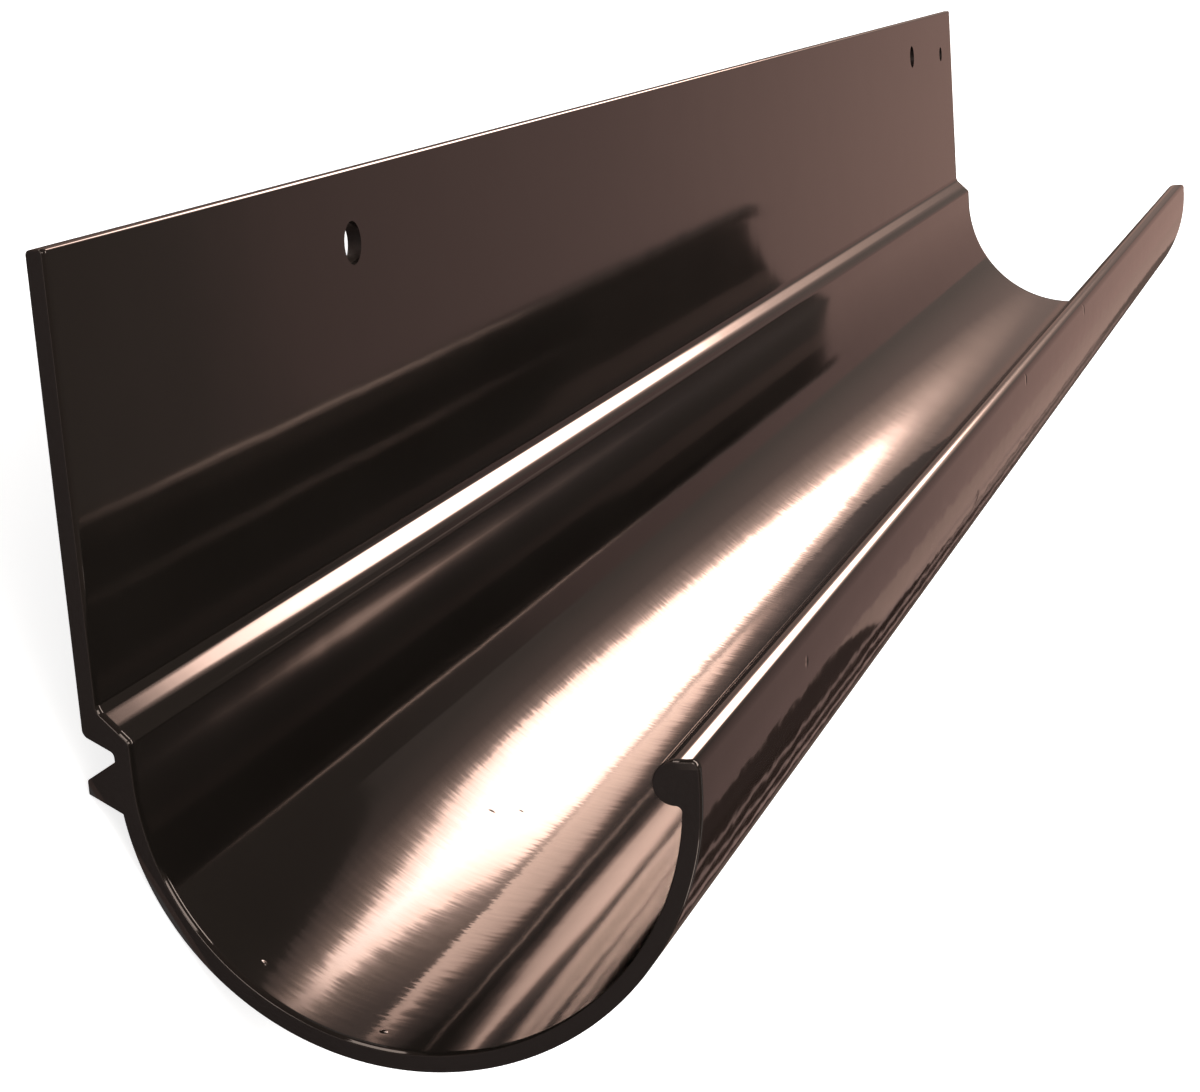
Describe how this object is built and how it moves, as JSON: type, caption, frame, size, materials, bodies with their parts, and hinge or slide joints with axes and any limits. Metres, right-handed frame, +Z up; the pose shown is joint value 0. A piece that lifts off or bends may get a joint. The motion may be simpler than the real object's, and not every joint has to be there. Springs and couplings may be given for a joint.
{
  "type": "gutter section",
  "caption": "Length of extruded half-round gutter with a stepped rear fixing flange, a solid beaded front lip and a spacer rib behind, in a glossy dark bronze coat.",
  "frame": {"origin": "middle of the bounding box at floor level, under the section as it lies on its back", "axes": "+X along the gutter to the end with two flange holes; +Z up; the flange leans up and back towards +Y and the beaded lip stands over -Y. The section's own upright, when fixed to a wall, is the direction (0, 0.8737, 0.4864)"},
  "size_m": [0.9144, 0.1626, 0.1013],
  "materials": {
    "bronze_coat": "high-gloss dark bronze powder coat on extruded aluminium"
  },
  "bodies": {
    "root": {"gutter_section": "bronze_coat"}
  },
  "joints": []
}
